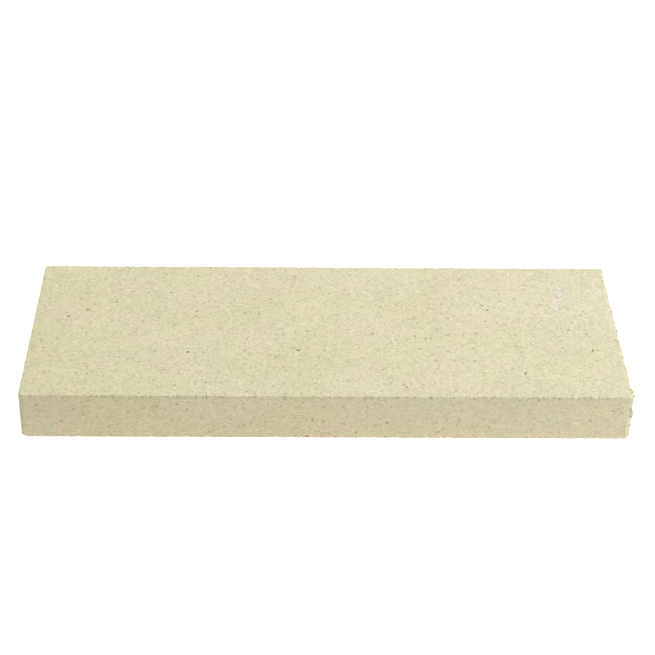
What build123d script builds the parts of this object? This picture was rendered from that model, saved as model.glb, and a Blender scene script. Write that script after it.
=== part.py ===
from build123d import *
import math
import os

# Stove firebrick: one slab of light refractory board, pressed in a mould and sawn to length.
# Millimetres. It lies on its back face, with the origin at the middle of that face.
# +X runs from the moulded end to the sawn end, -Y is the front edge, +Z is up to the fire face.

# The slab
length = 300.0
width = 120.0
thickness = 25.0

# The moulded end and the long arrises, as the press leaves them
mould_corner_radius = 2.5
mould_arris_radius = 0.4

# The sawn end, whose arrises break away under the blade: widest down the front upright, where the
# blade leaves the board, and widest of all at its foot
saw_break_front_foot = 2.6
saw_break_front_top = 1.2
saw_break_rear = 0.8
saw_break_flat = 0.6

# Crumbs torn out of the broken arrises, each the shape of a ball pressed into the arris.
# Along the two faces: (distance from the front edge, depth). On the uprights: (height, depth).
# A deep crumb is a large one: its ball's radius is its depth times the growth.
crumb_ball_growth = 7.0
crumbs_at_fire_face = (
    (7.0, 0.5), (14.0, 0.8), (21.5, 0.3), (33.0, 0.5), (39.0, 0.3), (54.0, 0.4),
    (66.0, 0.6), (77.5, 0.3), (91.0, 0.4), (104.0, 0.5), (112.0, 0.3),
)
crumbs_at_back_face = (
    (11.0, 0.6), (27.0, 0.4), (35.5, 0.3), (48.0, 0.7), (73.0, 0.4), (86.0, 0.3), (98.0, 0.6),
)
crumbs_at_front_upright = ((7.0, 0.6), (18.5, 0.7))
crumbs_at_rear_upright = ((5.0, 0.6), (12.5, 0.8))

# The foot of the moulded end's front corner, worn round by handling: how far along each edge
worn_along = 5.5
worn_across = 4.5
worn_up = 2.6
worn_bulge = 0.9


def crumb(depth, arris_break):
    """A crumb's ball radius, and how far the ball's centre stands off both faces of its arris."""
    ball_radius = depth * crumb_ball_growth
    return ball_radius, (ball_radius - depth) / math.sqrt(2) - arris_break / 2


# Each crumb's ball: its radius and its centre
right = length / 2
rear = width / 2
front_break_narrowing = (saw_break_front_foot - saw_break_front_top) / thickness
crumb_balls = []
for from_front, depth in crumbs_at_fire_face:
    ball_radius, off = crumb(depth, saw_break_flat)
    crumb_balls.append((ball_radius, (right + off, from_front - rear, thickness + off)))
for from_front, depth in crumbs_at_back_face:
    ball_radius, off = crumb(depth, saw_break_flat)
    crumb_balls.append((ball_radius, (right + off, from_front - rear, -off)))
for height, depth in crumbs_at_front_upright:
    ball_radius, off = crumb(depth, saw_break_front_foot - height * front_break_narrowing)
    crumb_balls.append((ball_radius, (right + off, -rear - off, height)))
for height, depth in crumbs_at_rear_upright:
    ball_radius, off = crumb(depth, saw_break_rear)
    crumb_balls.append((ball_radius, (right + off, rear + off, height)))

# The slanting plane that the front upright breaks along
foot_of_break = Vector(right - saw_break_front_foot, -rear, 0)
along_foot = Vector(saw_break_front_foot, saw_break_front_foot, 0)
up_the_break = Vector(saw_break_front_foot - saw_break_front_top, 0, thickness)
front_break = Plane(origin=foot_of_break, x_dir=along_foot, z_dir=along_foot.cross(up_the_break))

# The ball that the worn corner follows: it meets the corner's three edges where the wear ends,
# and swells between them by worn_bulge towards where the sharp corner was
corner = Vector(-right, -rear, 0)
ends_of_wear = [
    corner + Vector(worn_along, 0, 0),
    corner + Vector(0, worn_across, 0),
    corner + Vector(0, 0, worn_up),
]
side_a = ends_of_wear[0] - ends_of_wear[2]
side_b = ends_of_wear[1] - ends_of_wear[2]
normal = side_a.cross(side_b)
to_centre = (side_b * side_a.dot(side_a) - side_a * side_b.dot(side_b)).cross(normal) / (2 * normal.dot(normal))
ring_radius = to_centre.length
worn_ball_radius = (ring_radius**2 + worn_bulge**2) / (2 * worn_bulge)
worn_ball_centre = ends_of_wear[2] + to_centre + normal.normalized() * (worn_ball_radius - worn_bulge)

# What the wear takes away: the corner block outside that ball
with BuildPart() as worn_away:
    with Locations(corner):
        Box(2 * worn_along, 2 * worn_across, 2 * worn_up)
    with Locations(worn_ball_centre):
        Sphere(worn_ball_radius, mode=Mode.SUBTRACT)

with BuildPart() as firebrick:
    # Plan: two corners rounded by the mould, and the rear sawn one broken
    with BuildSketch(Plane.XY):
        Rectangle(length, width)
        fillet(vertices().group_by(Axis.X)[0], mould_corner_radius)
        chamfer(vertices().group_by(Axis.X)[-1].sort_by(Axis.Y)[-1], saw_break_rear)
    extrude(amount=thickness)

    # The sawn end's front upright, broken away on a slant
    split(bisect_by=front_break, keep=Keep.BOTTOM)

    # Sawn arrises, across both broad faces
    sawn_face = faces().sort_by(Axis.X)[-1]
    chamfer(sawn_face.edges().filter_by(Axis.Y), saw_break_flat)

    # Moulded arrises: the outline of both broad faces, up to the sawn end's broken corners
    sawn_from = right - saw_break_front_foot
    outlines = edges().group_by(Axis.Z)[0] + edges().group_by(Axis.Z)[-1]
    fillet(outlines.filter_by(lambda edge: edge.center().X < sawn_from), mould_arris_radius)

    # Crumbs torn out of the sawn arrises
    for ball_radius, centre in crumb_balls:
        with Locations(centre):
            Sphere(ball_radius, mode=Mode.SUBTRACT)

    # The worn corner
    add(worn_away.part, mode=Mode.SUBTRACT)

firebrick.part.label = "firebrick"

os.makedirs("parts", exist_ok=True)
export_step(firebrick.part, "parts/firebrick.step")
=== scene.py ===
import math
import random

import bmesh
import bpy
from mathutils import Matrix, Vector, noise
from mathutils.bvhtree import BVHTree


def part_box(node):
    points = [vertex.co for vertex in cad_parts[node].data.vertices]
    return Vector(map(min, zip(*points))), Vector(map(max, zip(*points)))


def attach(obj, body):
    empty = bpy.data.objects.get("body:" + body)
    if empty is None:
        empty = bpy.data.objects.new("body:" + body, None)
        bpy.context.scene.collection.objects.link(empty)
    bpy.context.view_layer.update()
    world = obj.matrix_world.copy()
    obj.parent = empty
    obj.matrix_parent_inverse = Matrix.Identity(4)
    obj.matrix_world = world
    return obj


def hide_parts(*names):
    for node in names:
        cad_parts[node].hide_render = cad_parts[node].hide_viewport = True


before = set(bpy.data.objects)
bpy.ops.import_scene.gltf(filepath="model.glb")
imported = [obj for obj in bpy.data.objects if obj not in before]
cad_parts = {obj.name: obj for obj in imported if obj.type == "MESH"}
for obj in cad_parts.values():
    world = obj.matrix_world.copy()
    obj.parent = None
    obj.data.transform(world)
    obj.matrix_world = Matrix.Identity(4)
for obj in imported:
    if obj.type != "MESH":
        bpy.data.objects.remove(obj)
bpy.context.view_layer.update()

# The camera. It stands a metre off, a little left of the brick's middle and looking down on the
# fire face, with the long front edge almost level. The picture is square, 655 pixels a side.
picture_side = 655
focal_pixels = 1860.0
sensor_width = 36
camera_place = (-0.0158, -0.7937, 0.5512)
look_down = math.radians(33.507)
turned_right = math.radians(1.201)
tipped_left = math.radians(0.948)

camera = bpy.data.objects.new("camera", bpy.data.cameras.new("camera"))
camera.data.sensor_width = sensor_width
camera.data.lens = sensor_width * focal_pixels / picture_side
camera.matrix_world = (
    Matrix.Translation(camera_place)
    @ Matrix.Rotation(-turned_right, 4, "Z")
    @ Matrix.Rotation(math.pi / 2 - look_down, 4, "X")
    @ Matrix.Rotation(tipped_left, 4, "Z")
)
bpy.context.scene.collection.objects.link(camera)
bpy.context.scene.camera = camera

# The firebrick. One board of expanded mineral flakes and a cream binder, pressed flat in a mould
# and fired, then sawn to length. The press leaves fine square arrises with a grain nibbled out
# here and there; the saw leaves an open, layered end whose arrises crumble.
MM = 0.001
low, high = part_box("firebrick")
middle = (low + high) / 2
half = (high - low) / 2


def lay(tree, kind, inputs=None, **settings):
    """Adds one node: settings are its own properties, and inputs are values or other nodes' outputs."""
    node = tree.nodes.new(kind)
    for name, value in settings.items():
        setattr(node, name, value)
    for name, value in (inputs or {}).items():
        if isinstance(value, bpy.types.NodeSocket):
            tree.links.new(value, node.inputs[name])
        else:
            node.inputs[name].default_value = value
    return node


def work(tree, operation, *values):
    """The result of one sum on values or outputs."""
    return lay(tree, "ShaderNodeMath", dict(enumerate(values)), operation=operation).outputs[0]


def product(tree, first, *others):
    """Several values or outputs multiplied together."""
    for other in others:
        first = work(tree, "MULTIPLY", first, other)
    return first


def added(tree, one, other):
    return lay(tree, "ShaderNodeVectorMath", {0: one, 1: other}, operation="ADD").outputs[0]


def stretched(tree, one, other):
    """One vector or colour multiplied by another, part by part."""
    return lay(tree, "ShaderNodeVectorMath", {0: one, 1: other}, operation="MULTIPLY").outputs[0]


def scaled(tree, vector, scale):
    return lay(tree, "ShaderNodeVectorMath", {0: vector, "Scale": scale}, operation="SCALE").outputs[0]


def parts(tree, vector):
    """The x, y and z of a vector."""
    return lay(tree, "ShaderNodeSeparateXYZ", {0: vector}).outputs


def ease(tree, value, start, end, low_end=0.0, high_end=1.0):
    """A smooth step of value, from low_end at start to high_end at end."""
    sockets = {"Value": value, "From Min": start, "From Max": end, "To Min": low_end, "To Max": high_end}
    return lay(tree, "ShaderNodeMapRange", sockets, interpolation_type="SMOOTHSTEP").outputs[0]


def fade(tree, value, reach):
    """One below a reach, nothing above it: reach is where the fading starts and where it ends."""
    return ease(tree, value, reach[0], reach[1], 1.0, 0.0)


def mix(tree, share, under, over):
    """One colour laid over another by a share."""
    return lay(tree, "ShaderNodeMix", {0: share, 6: under, 7: over}, data_type="RGBA").outputs[2]


def open_tree(name, kind, inputs, **outputs):
    """A node tree with named inputs and outputs, and what its inputs give. Each input is named with
    its kind of socket, or with the number that it holds when nothing else is set."""
    tree = bpy.data.node_groups.new(name, kind)
    for title, held in inputs.items():
        is_number = isinstance(held, float)
        socket_type = "NodeSocketFloat" if is_number else "NodeSocket" + held
        socket = tree.interface.new_socket(title, in_out="INPUT", socket_type=socket_type)
        if is_number:
            socket.default_value = held
    for title, socket_kind in outputs.items():
        tree.interface.new_socket(title, in_out="OUTPUT", socket_type="NodeSocket" + socket_kind)
    return tree, tree.nodes.new("NodeGroupInput").outputs


def grow(name, tree, start, values):
    """A plain object with the mesh that a tree makes from a starting mesh."""
    piece = bpy.data.objects.new(name, start)
    bpy.context.scene.collection.objects.link(piece)
    modifier = piece.modifiers.new(tree.name, "NODES")
    modifier.node_group = tree
    for socket in tree.interface.items_tree:
        if socket.in_out == "INPUT" and socket.name in values:
            modifier[socket.identifier] = values[socket.name]
    graph = bpy.context.evaluated_depsgraph_get()
    made = bpy.data.meshes.new_from_object(
        piece.evaluated_get(graph), preserve_all_data_layers=True, depsgraph=graph
    )
    piece.modifiers.clear()
    piece.data = made
    return piece


def open_material(name):
    """A material, its tree and its surface."""
    material = bpy.data.materials.new(name)
    material.use_nodes = True
    return material, material.node_tree, material.node_tree.nodes["Principled BSDF"]


# Grain, in everything made of the board: an uneven value about zero
grain_tree, given = open_tree(
    "pressed_grain", "ShaderNodeTree", {"Place": "Vector", "Size": 1.0, "Layers": 2.0}, Grain="Float"
)
finer = work(grain_tree, "DIVIDE", 1.0, given["Size"])
rise = lay(grain_tree, "ShaderNodeTexNoise", {
    "Vector": given["Place"], "Scale": finer, "Detail": given["Layers"],
})
lay(grain_tree, "NodeGroupOutput", {"Grain": work(grain_tree, "SUBTRACT", rise.outputs["Fac"], 0.5)})

# Flecks: separate flakes seen in the surface, a share of the cells of a loose packing. They are
# bent out of round, and their radius is anything from half of the one given to one and a half.
fleck_bends = 1.7  # to each fleck's size
fleck_core = 0.55  # past this share of its radius a fleck fades out
smallest_fleck = 0.5
fleck_tree, given = open_tree("mineral_flecks", "ShaderNodeTree", {
    "Place": "Vector", "Size": 1.0, "Share": 0.2, "Radius": 0.4, "Seed": 0.0,
}, Fleck="Float", Tone="Float")
apart = added(fleck_tree, given["Place"], given["Seed"])
finer = work(fleck_tree, "DIVIDE", 1.0, given["Size"])
bends = product(fleck_tree, finer, fleck_bends)
wander = lay(fleck_tree, "ShaderNodeTexNoise", {"Vector": apart, "Scale": bends}).outputs["Color"]
bent = added(fleck_tree, apart, scaled(fleck_tree, wander, given["Size"]))
cells = lay(fleck_tree, "ShaderNodeTexVoronoi", {"Vector": bent, "Scale": finer}).outputs
dice = lay(fleck_tree, "ShaderNodeSeparateColor", {"Color": cells["Color"]}).outputs
chosen = work(fleck_tree, "LESS_THAN", dice["Red"], given["Share"])
reach = product(fleck_tree, given["Radius"], work(fleck_tree, "ADD", smallest_fleck, dice["Green"]))
body = fade(fleck_tree, cells["Distance"], (product(fleck_tree, reach, fleck_core), reach))
lay(fleck_tree, "NodeGroupOutput", {"Fleck": product(fleck_tree, body, chosen), "Tone": dice["Blue"]})

# Uneven firing, in everything made of the board: the cream drifts warmer, yellower or darker from
# place to place. Each drift has its own size, in millimetres.
drift_sizes = {"Warmth": 18.0, "Yellowing": 36.0, "Darkening": 44.0}
green_lost_to_warmth = 0.5
firing_tree, given = open_tree("uneven_firing", "ShaderNodeTree", {
    "Place": "Vector", "Warmth": 0.055, "Yellowing": 0.15, "Darkening": 0.10,
}, Tint="Vector")
drifts = []
for strength, size in drift_sizes.items():
    rise = lay(firing_tree, "ShaderNodeTexNoise", {
        "Vector": given["Place"], "Scale": 1 / size, "Detail": 1.0,
    })
    centred = work(firing_tree, "SUBTRACT", rise.outputs["Fac"], 0.5)
    drifts.append(product(firing_tree, centred, given[strength]))
warmth, yellowing, darkening = drifts
tint = lay(firing_tree, "ShaderNodeCombineXYZ", {
    "X": work(firing_tree, "ADD", 1.0, warmth),
    "Y": work(firing_tree, "MULTIPLY_ADD", warmth, -green_lost_to_warmth, 1.0),
    "Z": work(firing_tree, "ADD", 1.0, yellowing),
}).outputs[0]
tint = scaled(firing_tree, tint, work(firing_tree, "ADD", 1.0, darkening))
lay(firing_tree, "NodeGroupOutput", {"Tint": tint})


def shade(tree, group, place, **values):
    """Places a shared group in a material's tree, with its own values."""
    return lay(tree, "ShaderNodeGroup", {"Place": place, **values}, node_tree=group).outputs


# The board's finish: cream binder, browner where the fine grain runs high and with painted shade in the
# nibbled hollows of the arrises, and paler where it is torn, with flakes of four sorts pressed into it.
# Colours are linear, and the patterns' sizes are in millimetres.
binder_cream = (0.632, 0.594, 0.403, 1)
broken_cream = (0.700, 0.650, 0.450, 1)
flake_grey = (0.400, 0.370, 0.210, 1)
flake_dark = (0.295, 0.265, 0.140, 1)
flake_pale = (0.720, 0.690, 0.500, 1)
# a brown for painted shade in the nibbled hollows, also laid where the fine grain runs high
grain_and_painted_shade_brown = (0.430, 0.372, 0.218, 1)
flattened = 1.7  # the press lays the flakes flat, so they are this much thinner than wide
pale_share = 0.6
more_flakes_on_edges = 0.3
# how the fine grain and the nibbled hollows take the painted shade brown
grain_in_painted_shade = 1.5
grain_and_painted_shade_rise = (0.30, 0.60)
grain_and_painted_shade_share = 0.65
cloud_contrast, patch_contrast, fine_contrast = 0.12, 0.10, 0.40
face_warmth, more_warmth_on_edges = 0.055, 0.025
fine_height, common_height, pale_height = 0.7, -0.2, 0.2
board_bump = 0.35 * MM
board_roughness = 0.88
board_gloss = 0.3


def pressed_place(tree):
    """The place on the board in millimetres, drawn out in height so that patterns are flattened."""
    spot = lay(tree, "ShaderNodeTexCoord").outputs["Object"]
    return lay(tree, "ShaderNodeMapping", {
        "Vector": spot, "Scale": (1 / MM, 1 / MM, flattened / MM),
    }).outputs[0]


def mark(tree, name):
    """A share from nothing to one that the mesh carries at its points."""
    return lay(tree, "ShaderNodeAttribute", attribute_name=name).outputs["Fac"]


def finish(tree, surface, colour, height, bump, roughness):
    """Links a surface's colour and its bump, and sets how dull it is."""
    tree.links.new(colour, surface.inputs["Base Color"])
    raised = lay(tree, "ShaderNodeBump", {"Height": height, "Distance": bump, "Strength": 1.0}).outputs[0]
    tree.links.new(raised, surface.inputs["Normal"])
    surface.inputs["Roughness"].default_value = roughness
    surface.inputs["Specular IOR Level"].default_value = board_gloss


board, tree, surface = open_material("pressed_refractory_board")
where = pressed_place(tree)
edgewise = mark(tree, "edgewise")
cloud = shade(tree, grain_tree, where, Size=5.0, Layers=2.0)["Grain"]
fine = shade(tree, grain_tree, where, Size=1.05, Layers=3.0)["Grain"]
common = shade(tree, fleck_tree, where, Size=1.35, Share=0.36, Radius=0.5, Seed=3.0)
larger = shade(tree, fleck_tree, where, Size=2.1, Share=0.16, Radius=0.38, Seed=17.0)
darker = shade(tree, fleck_tree, where, Size=4.2, Share=0.07, Radius=0.13, Seed=41.0)
paler = shade(tree, fleck_tree, where, Size=1.5, Share=0.30, Radius=0.42, Seed=29.0)

colour = mix(tree, mark(tree, "torn"), binder_cream, broken_cream)
colour = mix(tree, product(tree, paler["Fleck"], pale_share), colour, flake_pale)
for fleck, under, least, most in (
    (common, flake_grey, 0.08, 0.42),
    (larger, flake_grey, 0.12, 0.44),
    (darker, flake_dark, 0.20, 0.50),
):
    share = product(tree, fleck["Fleck"], ease(tree, fleck["Tone"], 0, 1, least, most))
    share = product(tree, share, work(tree, "MULTIPLY_ADD", edgewise, more_flakes_on_edges, 1.0))
    colour = mix(tree, share, colour, under)
# Painted shade: the nibbled hollows of the arrises, and wherever the fine grain runs high, are mixed
# towards a darker brown.
grain_and_painted_shade = work(tree, "MULTIPLY_ADD", fine, grain_in_painted_shade, mark(tree, "nibbled"))
grain_and_painted_shade = ease(tree, grain_and_painted_shade, *grain_and_painted_shade_rise)
colour = mix(tree, product(tree, grain_and_painted_shade, grain_and_painted_shade_share), colour, grain_and_painted_shade_brown)
patch = work(tree, "SUBTRACT", common["Tone"], 0.5)
uneven = work(tree, "MULTIPLY_ADD", cloud, cloud_contrast, 1.0)
uneven = work(tree, "MULTIPLY_ADD", patch, patch_contrast, uneven)
uneven = work(tree, "MULTIPLY_ADD", fine, fine_contrast, uneven)
warmth = work(tree, "MULTIPLY_ADD", edgewise, more_warmth_on_edges, face_warmth)
drift = shade(tree, firing_tree, where, Warmth=warmth)["Tint"]
colour = stretched(tree, scaled(tree, colour, uneven), drift)
height = work(tree, "MULTIPLY_ADD", fine, fine_height, product(tree, common["Fleck"], common_height))
height = work(tree, "MULTIPLY_ADD", paler["Fleck"], pale_height, height)
finish(tree, surface, colour, height, board_bump, board_roughness)

# The starting grid: a box of 4 mm cells, halved again and again towards the arrises and the sawn end
cell = 4.0 * MM
halving_reaches = (6.0 * MM, 4.0 * MM, 2.6 * MM)
hair = 0.1 * MM


def halved(face, reach):
    """Whether a face is near enough to an arris, or on the sawn end, to be cut finer."""
    point = face.calc_center_median()
    from_arris = sorted(half[axis] - abs(point[axis] - middle[axis]) for axis in range(3))[1]
    return from_arris < reach or point.x > high.x - hair


grid = bmesh.new()
bmesh.ops.create_cube(grid, size=2, matrix=Matrix.Translation(middle) @ Matrix.Diagonal((*half, 1)))
for axis in range(3):
    cuts = round(2 * half[axis] / cell)
    for cut in range(1, cuts):
        across = low.copy()
        across[axis] += 2 * half[axis] * cut / cuts
        everything = grid.verts[:] + grid.edges[:] + grid.faces[:]
        bmesh.ops.bisect_plane(grid, geom=everything, plane_co=across, plane_no=Matrix.Identity(3)[axis])
for reach in halving_reaches:
    chosen_faces = [face for face in grid.faces if halved(face, reach)]
    chosen_edges = list({edge for face in chosen_faces for edge in face.edges})
    bmesh.ops.subdivide_edges(grid, edges=chosen_edges, cuts=1, use_grid_fill=True)
bmesh.ops.triangulate(grid, faces=[face for face in grid.faces if len(face.verts) > 4])

# Wrapped on the solid, so the rounds, breaks, crumbs and worn corner are the solid's own. Each
# point goes straight in from a flat face, and from an arris on a slant, towards a box inside.
rind = 3.0 * MM
weld = 0.001 * MM
solid = bmesh.new()
solid.from_mesh(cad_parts["firebrick"].data)
bmesh.ops.remove_doubles(solid, verts=solid.verts, dist=weld)
skin = BVHTree.FromBMesh(solid)
solid.free()
inward = []
for vertex in grid.verts:
    kept = [max(low[axis] + rind, min(high[axis] - rind, vertex.co[axis])) for axis in range(3)]
    way = (Vector(kept) - vertex.co).normalized()
    vertex.co = skin.ray_cast(vertex.co - way * MM, way)[0]
    inward.append(way)
start = bpy.data.meshes.new("firebrick_start")
grid.to_mesh(start)
grid.free()
ways = start.attributes.new("inward", "FLOAT_VECTOR", "POINT")
ways.data.foreach_set("vector", [number for way in inward for number in way])

# The relief: grains nibbled out of the arrises, and the sawn end's layers, pits and tears. The tears
# grow towards the front, where the blade left, and the rear upright and the corners stay squarer.
arris_fade = (0.3 * MM, 2.2 * MM)
saw_fade = (0.4 * MM, 3.0 * MM)
nibble_fade = (0.25, 0.75)
few_are_deep = 2.5  # a power, so that most hollows are shallow
roughening, roughening_share = 0.9, 0.25
tear_rise = (0.42, 0.70)
tear_at_rear, tear_at_front, tear_grows_over = 0.5, 1.3, 80 * MM
layer_stretch = (1.0, 0.35, 1.6)
layers_in_mm = 0.8
layer_rise = (0.35, 0.75)
pits_in_layers = 1.3
rear_fade, spared_at_rear = (1.0 * MM, 5.0 * MM), 0.7
corner_fade, spared_at_corners = (1.5 * MM, 6.0 * MM), 0.6
torn_rise = (0.08 * MM, 0.5 * MM)
nibbled_rise = (0.10 * MM, 0.30 * MM)
edgewise_fade = (0.3, 0.8)

relief, given = open_tree("board_relief", "GeometryNodeTree", {
    "Geometry": "Geometry",
    "Sawn End": 0.0,
    "Width Half": 0.0,
    "Mid Height": 0.0,
    "Length Half": 0.0,
    "Nibble Size": 1.0,
    "Nibble Depth": 0.0,
    "Tear Size": 1.0,
    "Tear Depth": 0.0,
    "Layer Depth": 0.0,
    "Finish": "Material",
}, Geometry="Geometry")
position = lay(relief, "GeometryNodeInputPosition").outputs[0]
in_mm = scaled(relief, position, 1 / MM)
x, y, z = parts(relief, position)
from_middle = work(relief, "ABSOLUTE", work(relief, "SUBTRACT", z, given["Mid Height"]))
face_gap = work(relief, "SUBTRACT", given["Mid Height"], from_middle)
side_gap = work(relief, "SUBTRACT", given["Width Half"], work(relief, "ABSOLUTE", y))
end_gap = work(relief, "SUBTRACT", given["Length Half"], work(relief, "ABSOLUTE", x))
sawn_gap = work(relief, "SUBTRACT", given["Sawn End"], x)
rear_gap = work(relief, "SUBTRACT", given["Width Half"], y)
nearest = work(relief, "MINIMUM", side_gap, work(relief, "MINIMUM", face_gap, end_gap))
furthest = work(relief, "MAXIMUM", side_gap, work(relief, "MAXIMUM", face_gap, end_gap))
total = work(relief, "ADD", side_gap, work(relief, "ADD", face_gap, end_gap))
arris_gap = work(relief, "SUBTRACT", total, work(relief, "ADD", nearest, furthest))
at_arris = fade(relief, arris_gap, arris_fade)
at_saw = fade(relief, sawn_gap, saw_fade)

finer = work(relief, "DIVIDE", 1.0, given["Nibble Size"])
nibble = lay(relief, "ShaderNodeTexVoronoi", {"Vector": in_mm, "Scale": finer}).outputs
dice = lay(relief, "FunctionNodeSeparateColor", {"Color": nibble["Color"]}).outputs
hollow = fade(relief, nibble["Distance"], nibble_fade)
hollow = product(relief, hollow, work(relief, "POWER", dice["Red"], few_are_deep))
roughen = lay(relief, "ShaderNodeTexNoise", {"Vector": in_mm, "Scale": roughening, "Detail": 3.0})
roughened = work(relief, "MULTIPLY_ADD", roughen.outputs["Fac"], roughening_share, hollow)
nibbled = product(relief, given["Nibble Depth"], roughened, at_arris)

finer = work(relief, "DIVIDE", 1.0, given["Tear Size"])
tear = lay(relief, "ShaderNodeTexNoise", {
    "Vector": in_mm, "Scale": finer, "Detail": 3.0, "Roughness": 0.6,
})
tear = product(relief, given["Tear Depth"], ease(relief, tear.outputs["Fac"], *tear_rise))
tear = product(relief, tear, product(relief, at_arris, at_saw))
tear = product(relief, tear, ease(relief, rear_gap, 0, tear_grows_over, tear_at_rear, tear_at_front))

layers = stretched(relief, in_mm, layer_stretch)
layering = lay(relief, "ShaderNodeTexNoise", {
    "Vector": layers, "Scale": layers_in_mm, "Detail": 4.0, "Roughness": 0.65,
})
layering = ease(relief, layering.outputs["Fac"], *layer_rise)
open_end = work(relief, "MULTIPLY_ADD", hollow, pits_in_layers, layering)
open_end = product(relief, given["Layer Depth"], open_end, at_saw)

depth = work(relief, "ADD", nibbled, work(relief, "ADD", tear, open_end))
at_rear_upright = product(relief, fade(relief, rear_gap, rear_fade), at_saw)
depth = product(relief, depth, work(relief, "MULTIPLY_ADD", at_rear_upright, -spared_at_rear, 1.0))
at_corner = fade(relief, furthest, corner_fade)
depth = product(relief, depth, work(relief, "MULTIPLY_ADD", at_corner, -spared_at_corners, 1.0))
direction = lay(
    relief, "GeometryNodeInputNamedAttribute", {"Name": "inward"}, data_type="FLOAT_VECTOR"
).outputs[0]
moved = lay(relief, "GeometryNodeSetPosition", {
    "Geometry": given["Geometry"], "Offset": scaled(relief, direction, depth),
}).outputs[0]
up = parts(relief, lay(relief, "GeometryNodeInputNormal").outputs[0])["Z"]
for name, share in (
    ("torn", product(relief, ease(relief, depth, *torn_rise), at_saw)),
    ("nibbled", ease(relief, nibbled, *nibbled_rise)),
    ("edgewise", fade(relief, work(relief, "ABSOLUTE", up), edgewise_fade)),
):
    moved = lay(relief, "GeometryNodeStoreNamedAttribute", {
        "Geometry": moved, "Name": name, "Value": share,
    }, data_type="FLOAT", domain="POINT").outputs[0]
moved = lay(relief, "GeometryNodeSetShadeSmooth", {"Geometry": moved}).outputs[0]
moved = lay(relief, "GeometryNodeRealizeInstances", {"Geometry": moved}).outputs[0]
moved = lay(relief, "GeometryNodeSetMaterial", {"Geometry": moved, "Material": given["Finish"]}).outputs[0]
lay(relief, "NodeGroupOutput", {"Geometry": moved})

slab = grow("firebrick_board", relief, start, {
    "Sawn End": high.x,
    "Width Half": half.y,
    "Mid Height": half.z,
    "Length Half": half.x,
    "Nibble Size": 1.3,  # in millimetres, as is the size of a tear
    "Nibble Depth": 0.50 * MM,
    "Tear Size": 2.0,
    "Tear Depth": 1.4 * MM,
    "Layer Depth": 0.80 * MM,
    "Finish": board,
})
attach(slab, "root")
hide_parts("firebrick")

# The flakes. Plates of expanded mica, laid flat by the press and bound in: almost flush in the
# moulded faces, and edge-on, standing a little proud, where the saw opened the board.
flake_tan = (0.520, 0.483, 0.315, 1)
burnt = (0.110, 0.090, 0.030, 1)
mica_tones = (
    (0.22, broken_cream), (0.50, binder_cream), (0.78, flake_tan), (0.90, flake_grey), (0.93, flake_dark),
)
mica_grain = 0.5
mica_contrast = 0.4
mica_bump = 0.1 * MM
mica_roughness = 0.65

glint, tree, surface = open_material("mica_flake")
where = pressed_place(tree)
tones = lay(tree, "ShaderNodeValToRGB", {"Fac": mark(tree, "shade")})
tones.color_ramp.elements[0].color = flake_pale
tones.color_ramp.elements[1].color = burnt
for spot, tone in mica_tones:
    tones.color_ramp.elements.new(spot).color = tone
fine = shade(tree, grain_tree, where, Size=mica_grain, Layers=2.0)["Grain"]
colour = scaled(tree, tones.outputs["Color"], work(tree, "MULTIPLY_ADD", fine, mica_contrast, 1.0))
colour = stretched(tree, colour, shade(tree, firing_tree, where)["Tint"])
finish(tree, surface, colour, fine, mica_bump, mica_roughness)

# How the flakes lie: flat in the broad faces, and some of them edge-on in the narrow ones. At the
# saw more stand edge-on, and they are paler and lean more. Each random number has its own seed.
most_per_square_metre = 1e6
fresh_fade = (0.5 * MM, 3.0 * MM)
narrow_face = 0.6  # a face turned up or down by less than this is one of the narrow ones
underside = -0.5  # and one turned down by more than this has no flakes
edge_on_share, edge_on_more_at_saw = 0.30, 0.55
few_are_large = 1.6  # a power, so that most flakes are small
larger_at_saw = 0.1
squareness, smaller_on_slants = (0.75, 0.95), 0.5  # rounds and broken arrises have smaller flakes
thinnest, thickest = 0.6, 1.5
narrowest, widest = 0.6, 1.3
shallowest, deepest = 0.35, 0.90  # how far an edge-on flake is sunk, of its radius
palest, darkest, paler_at_saw = 0.04, 0.88, 0.35
leaning, leaning_more_at_saw = 0.12, 0.18
outlines = ((5, 1.7), (6, 4.1), (7, 8.9), (6, 13.3))  # how many sides, and a seed for the unevenness
outline_waves, outline_warp = 0.9, (1.6, 1.6, 0.8)

flaking, given = open_tree("laid_flakes", "GeometryNodeTree", {
    "Geometry": "Geometry",
    "Sawn End": 0.0,
    "Spacing": 0.0,
    "Smallest": 0.0,
    "Largest": 0.0,
    "Thickness": 0.0,
    "Proud": 0.0,
    "Seed": "Int",
    "Finish": "Material",
}, Geometry="Geometry")


def chance(least, most, seed):
    """A random number for each flake."""
    dice = lay(flaking, "FunctionNodeRandomValue", {2: least, 3: most, "Seed": seed}, data_type="FLOAT")
    return dice.outputs[1]


scattered = lay(flaking, "GeometryNodeDistributePointsOnFaces", {
    "Mesh": given["Geometry"],
    "Distance Min": given["Spacing"],
    "Density Max": most_per_square_metre,
    "Seed": given["Seed"],
}, distribute_method="POISSON").outputs
facing = scattered["Normal"]
x, y, z = parts(flaking, lay(flaking, "GeometryNodeInputPosition").outputs[0])
ahead, aside, up = parts(flaking, facing)
squarest = work(flaking, "MAXIMUM", work(flaking, "ABSOLUTE", ahead), work(flaking, "ABSOLUTE", aside))
squarest = work(flaking, "MAXIMUM", squarest, work(flaking, "ABSOLUTE", up))
at_saw = fade(flaking, work(flaking, "SUBTRACT", given["Sawn End"], x), fresh_fade)
beside = work(flaking, "LESS_THAN", work(flaking, "ABSOLUTE", up), narrow_face)
edge_share = work(flaking, "MULTIPLY_ADD", at_saw, edge_on_more_at_saw, edge_on_share)
edge_on = product(flaking, beside, work(flaking, "LESS_THAN", chance(0, 1, seed=11), edge_share))

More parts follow.
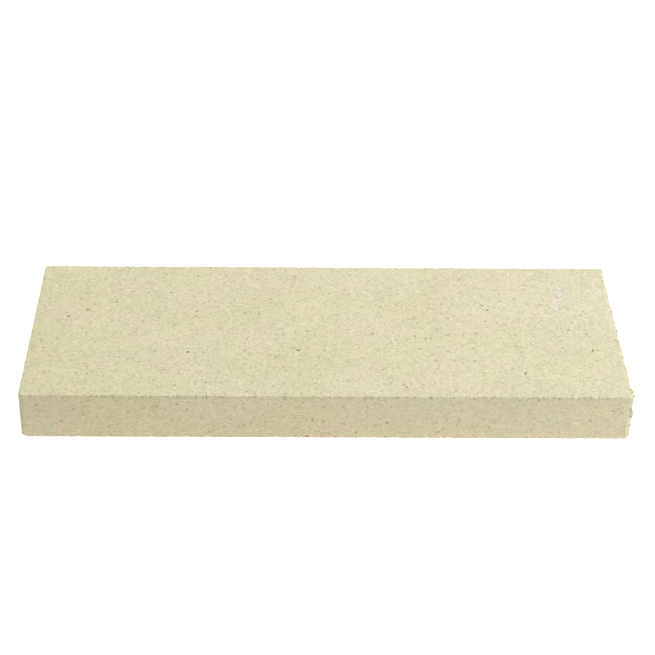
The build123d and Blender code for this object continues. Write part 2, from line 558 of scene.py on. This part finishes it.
radius = lay(flaking, "ShaderNodeMapRange", {
    "Value": work(flaking, "POWER", chance(0, 1, seed=12), few_are_large),
    "To Min": given["Smallest"],
    "To Max": given["Largest"],
}).outputs[0]
radius = product(flaking, radius, work(flaking, "MULTIPLY_ADD", at_saw, larger_at_saw, 1.0))
radius = product(flaking, radius, ease(flaking, squarest, *squareness, smaller_on_slants, 1.0))
thickness = product(flaking, given["Thickness"], chance(thinnest, thickest, seed=13))
flat_sink = work(flaking, "SUBTRACT", product(flaking, thickness, 0.5), given["Proud"])
edge_sink = product(flaking, radius, chance(shallowest, deepest, seed=14))
spare = work(flaking, "SUBTRACT", edge_sink, flat_sink)
sink = work(flaking, "MULTIPLY_ADD", spare, edge_on, flat_sink)
placed = lay(flaking, "GeometryNodeSetPosition", {
    "Geometry": scattered["Points"], "Offset": scaled(flaking, facing, product(flaking, sink, -1.0)),
}).outputs[0]
tone = product(
    flaking, chance(palest, darkest, seed=15), work(flaking, "MULTIPLY_ADD", at_saw, -paler_at_saw, 1.0)
)
placed = lay(flaking, "GeometryNodeStoreNamedAttribute", {
    "Geometry": placed, "Name": "shade", "Value": tone,
}, data_type="FLOAT", domain="POINT").outputs[0]

shapes = lay(flaking, "GeometryNodeJoinGeometry")
for sides, seed in outlines:
    disc = lay(flaking, "GeometryNodeMeshCylinder", {"Vertices": sides, "Radius": 1.0, "Depth": 1.0})
    spot = lay(flaking, "GeometryNodeInputPosition").outputs[0]
    warp = lay(flaking, "ShaderNodeTexNoise", {
        "Vector": spot, "W": seed, "Scale": outline_waves,
    }, noise_dimensions="4D").outputs["Color"]
    warp = stretched(flaking, added(flaking, warp, (-0.5, -0.5, -0.5)), outline_warp)
    bent = lay(flaking, "GeometryNodeSetPosition", {
        "Geometry": disc.outputs["Mesh"], "Offset": warp,
    }).outputs[0]
    packed = lay(flaking, "GeometryNodeGeometryToInstance", {"Geometry": bent}).outputs[0]
    flaking.links.new(packed, shapes.inputs[0])

wobble = lay(flaking, "FunctionNodeRandomValue", {
    0: (-1, -1, -1), 1: (1, 1, 1), "Seed": 16,
}, data_type="FLOAT_VECTOR").outputs[0]
wobble = scaled(flaking, wobble, work(flaking, "MULTIPLY_ADD", at_saw, leaning_more_at_saw, leaning))
axis = lay(flaking, "ShaderNodeMix", {0: edge_on, 4: facing, 5: (0, 0, 1)}, data_type="VECTOR").outputs[1]
axis = added(flaking, axis, wobble)
turned = lay(flaking, "FunctionNodeAlignRotationToVector", {"Vector": axis}, axis="Z").outputs[0]
spin = lay(flaking, "ShaderNodeCombineXYZ", {"Z": chance(0, math.tau, seed=17)}).outputs[0]
turned = lay(flaking, "FunctionNodeRotateRotation", {0: turned, 1: spin}, rotation_space="LOCAL").outputs[0]
size = lay(flaking, "ShaderNodeCombineXYZ", {
    "X": product(flaking, radius, chance(narrowest, widest, seed=18)), "Y": radius, "Z": thickness,
}).outputs[0]
laid = lay(flaking, "GeometryNodeInstanceOnPoints", {
    "Points": placed,
    "Selection": work(flaking, "GREATER_THAN", up, underside),
    "Instance": shapes.outputs[0],
    "Pick Instance": True,
    "Rotation": turned,
    "Scale": size,
}).outputs[0]
laid = lay(flaking, "GeometryNodeRealizeInstances", {"Geometry": laid}).outputs[0]
x, y, z = parts(flaking, lay(flaking, "GeometryNodeInputPosition").outputs[0])
above_table = work(flaking, "MAXIMUM", z, 0.0)
grounded = lay(flaking, "ShaderNodeCombineXYZ", {"X": x, "Y": y, "Z": above_table}).outputs[0]
laid = lay(flaking, "GeometryNodeSetPosition", {"Geometry": laid, "Position": grounded}).outputs[0]
laid = lay(flaking, "GeometryNodeSetMaterial", {"Geometry": laid, "Material": given["Finish"]}).outputs[0]
lay(flaking, "NodeGroupOutput", {"Geometry": laid})

flakes = grow("mineral_flakes", flaking, slab.data.copy(), {
    "Sawn End": high.x,
    "Spacing": 2.1 * MM,
    "Smallest": 0.34 * MM,
    "Largest": 1.0 * MM,
    "Thickness": 0.22 * MM,
    "Proud": 0.04 * MM,
    "Seed": 5,
    "Finish": glint,
})
flakes.data.materials.clear()
flakes.data.materials.append(glint)
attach(flakes, "root")

# Burnt grains, loose chips and crumbs. Some grains came out of the kiln dark, and show in the fire
# face. A few plates and crumbs of board hang on round the sawn end's front corner, which broke away.
# Everything here is in millimetres, and is scaled down at the end.
chance_of_shape = random.Random(23)
burnt_depth = 0.3
burnt_proud = 0.03
burnt_turn = 0.5
burnt_grains = (  # where each lies on the fire face, its width and length, and its shade
    (-69.5, -22, 1.4, 1.8, 1.0), (-123, 16.5, 2.2, 2.7, 0.93), (-132.5, 10.5, 2.0, 2.7, 0.91),
    (-109, 24, 1.5, 1.5, 0.95), (84.5, 18, 2.1, 1.2, 1.0), (134.5, -19, 1.7, 1.3, 1.0),
    (98.5, -39.5, 1.9, 1.8, 0.95), (125, 21, 1.2, 1.2, 0.92), (39, -51.5, 1.4, 1.5, 0.93),
    (47.5, -18, 1.3, 1.7, 0.93), (-14, -20, 1.1, 3.8, 0.99), (-3, 39, 1.2, 1.6, 0.92),
    (-81, 33.5, 1.1, 1.5, 0.93), (-61.5, 58.5, 1.2, 1.6, 0.92),
)
chip_thickness = 0.45
chip_shade = 0.4
chip_length = 1.2  # of its width
chip_tilt, chip_turn = 0.6, 0.8
hanging_chips = (  # how far each lies from the sawn end and the front edge, its height, and its width
    (1.2, 1.0, 22.8, 1.7), (1.4, 1.2, 12.6, 1.6),
)
hanging_crumbs = (  # how far each lies from both, its height, its radius and its half height
    (1.05, 1.5, 15.2, 1.3, 2.1), (2.3, 1.6, 5.0, 0.9, 1.6), (0.95, 3.0, 23.9, 1.25, 0.85),
    (0.8, 7.0, 24.0, 1.15, 0.75),
)
crumb_lumps = ((0.9, 0.45), (2.3, 0.25))  # how many to the millimetre, and how strong
plate_sides = 7
plate_top = 0.86  # of its foot
plate_unevenness = 0.22
plate_waves, changed_by_width = 3.1, 5

chips = bmesh.new()
shade_layer = chips.verts.layers.float.new("shade")


def add_plate(centre, width, length, depth, turn, tone):
    """An uneven plate, narrower at its top, of one shade."""
    rims = []
    for up, spread in ((0.5, plate_top), (-0.5, 1.0)):
        rim = []
        for side in range(plate_sides):
            angle = math.tau * side / plate_sides
            wave = math.sin(plate_waves * side + changed_by_width * width + length)
            reach = spread * (1 + plate_unevenness * wave)
            along = math.cos(angle) * reach * length / 2
            across = math.sin(angle) * reach * width / 2
            vertex = chips.verts.new(Vector(centre) + turn @ Vector((along, across, up * depth)))
            vertex[shade_layer] = tone
            rim.append(vertex)
        rims.append(rim)
    chips.faces.new(rims[0])
    chips.faces.new(rims[1][::-1])
    for side in range(plate_sides):
        after = (side + 1) % plate_sides
        chips.faces.new((rims[1][side], rims[1][after], rims[0][after], rims[0][side]))


def add_crumb(centre, radius, half_height):
    """A rough lump of the board itself, taller than wide or the other way."""
    lump = bmesh.ops.create_icosphere(chips, subdivisions=4, radius=1.0)["verts"]
    for vertex in lump:
        place = Vector(centre) + vertex.co * radius
        swell = 1.0
        for often, strength in crumb_lumps:
            swell += strength * noise.noise(place * often)
        outwards = Vector((vertex.co.x * radius, vertex.co.y * radius, vertex.co.z * half_height))
        vertex.co = Vector(centre) + swell * outwards
    for face in {face for vertex in lump for face in vertex.link_faces}:
        face.material_index = 1
        face.smooth = True


def by_the_corner(from_saw, from_front, height):
    """A place by the sawn end's front corner."""
    return (high.x / MM - from_saw, low.y / MM + from_front, height)


def by_chance(most, axis):
    """A turn about an axis, either way by as much as most."""
    return Matrix.Rotation(chance_of_shape.uniform(-most, most), 3, axis)


for x, y, width, length, tone in burnt_grains:
    spot = (x, y, high.z / MM - burnt_depth / 2 + burnt_proud)
    add_plate(spot, width, length, burnt_depth, by_chance(burnt_turn, "Z"), tone)
for from_saw, from_front, height, width in hanging_chips:
    tilt = by_chance(chip_tilt, "X")
    turn = by_chance(chip_turn, "Z") @ tilt
    spot = by_the_corner(from_saw, from_front, height)
    add_plate(spot, width, chip_length * width, chip_thickness, turn, chip_shade)
for from_saw, from_front, height, radius, half_height in hanging_crumbs:
    add_crumb(by_the_corner(from_saw, from_front, height), radius, half_height)
bmesh.ops.scale(chips, vec=(MM, MM, MM), verts=chips.verts)
chips_mesh = bpy.data.meshes.new("burnt_grains_and_chips")
chips.to_mesh(chips_mesh)
chips.free()
chips_mesh.materials.append(glint)
chips_mesh.materials.append(board)
grains = bpy.data.objects.new("burnt_grains_and_chips", chips_mesh)
bpy.context.scene.collection.objects.link(grains)
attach(grains, "root")

# The studio: a glowing white table, brightest and a little warm close round the brick, with soft
# light from above, from the right, from in front and a little from behind. The table shines less on
# what touches it, and seen from below it isn't there.
table_white = (0.15, 0.15, 0.15, 1)
table_roughness = 0.9
table_glow = (0.98, 0.98, 0.98, 1)
pool_glow = (1.29, 1.17, 1.11, 1)
touching_glow = (0.60, 0.58, 0.55, 1)
touching = (0.2 * MM, 0.6 * MM)
pool_middle, pool_shape = (-0.012, 0, 0), (0.35, 1, 1)
pool_edge = (0.08, 0.14)
table_gap = 0.05 * MM
table_half = 20.0
table_corners = ((-1, -1), (1, -1), (1, 1), (-1, 1))

paper, tree, surface = open_material("white_studio_table")
surface.inputs["Base Color"].default_value = table_white
surface.inputs["Roughness"].default_value = table_roughness
spot = lay(tree, "ShaderNodeTexCoord").outputs["Object"]
oval = lay(tree, "ShaderNodeMapping", {
    "Vector": spot, "Location": pool_middle, "Scale": pool_shape,
}).outputs[0]
from_pool = lay(tree, "ShaderNodeVectorMath", {0: oval}, operation="LENGTH").outputs["Value"]
glow = mix(tree, ease(tree, from_pool, *pool_edge), pool_glow, table_glow)
lit_from = lay(tree, "ShaderNodeLightPath").outputs["Ray Length"]
glow = mix(tree, ease(tree, lit_from, *touching), touching_glow, glow)
tree.links.new(glow, surface.inputs["Emission Color"])
surface.inputs["Emission Strength"].default_value = 1.0
behind = lay(tree, "ShaderNodeNewGeometry").outputs["Backfacing"]
gone = lay(tree, "ShaderNodeBsdfTransparent").outputs[0]
seen = lay(tree, "ShaderNodeMixShader", {0: behind, 1: surface.outputs[0], 2: gone}).outputs[0]
tree.links.new(seen, tree.nodes["Material Output"].inputs["Surface"])

table = bpy.data.objects.new("studio_table", bpy.data.meshes.new("studio_table"))
corners = [(x * table_half, y * table_half, -table_gap) for x, y in table_corners]
table.data.from_pydata(corners, [], [(0, 1, 2, 3)])
table.data.materials.append(paper)
bpy.context.scene.collection.objects.link(table)


def softbox(name, spot, aim, side, watts, tint):
    """A square soft light that faces a point."""
    light = bpy.data.objects.new(name, bpy.data.lights.new(name, "AREA"))
    light.data.shape = "SQUARE"
    light.data.size = side
    light.data.energy = watts
    light.data.color = tint
    light.location = spot
    light.rotation_mode = "QUATERNION"
    light.rotation_quaternion = (Vector(spot) - Vector(aim)).to_track_quat("Z", "Y")
    light.visible_camera = False
    bpy.context.scene.collection.objects.link(light)


by_the_saw = (0.12, 0, high.z)
softbox("overhead_softbox", (0.2, 0.35, 1.5), middle, side=1.6, watts=27.6, tint=(1.008, 1, 0.953))
softbox("right_softbox", (0.60, -0.30, 0.17), middle, side=0.25, watts=1.38, tint=(0.83, 1.0, 1.12))
softbox("front_softbox", (0.15, -1.00, 0.20), middle, side=0.5, watts=0.42, tint=(1.18, 0.70, 0.40))
softbox("rear_softbox", (0.22, 0.22, 0.22), by_the_saw, side=0.1, watts=0.065, tint=(0.80, 0.50, 2.1))

room_light = 0.25
world = bpy.data.worlds.new("white_studio")
world.use_nodes = True
sky = world.node_tree.nodes["Background"]
sky.inputs["Color"].default_value = (1, 1, 1, 1)
sky.inputs["Strength"].default_value = room_light
bpy.context.scene.world = world
bpy.context.scene.view_settings.view_transform = "Standard"
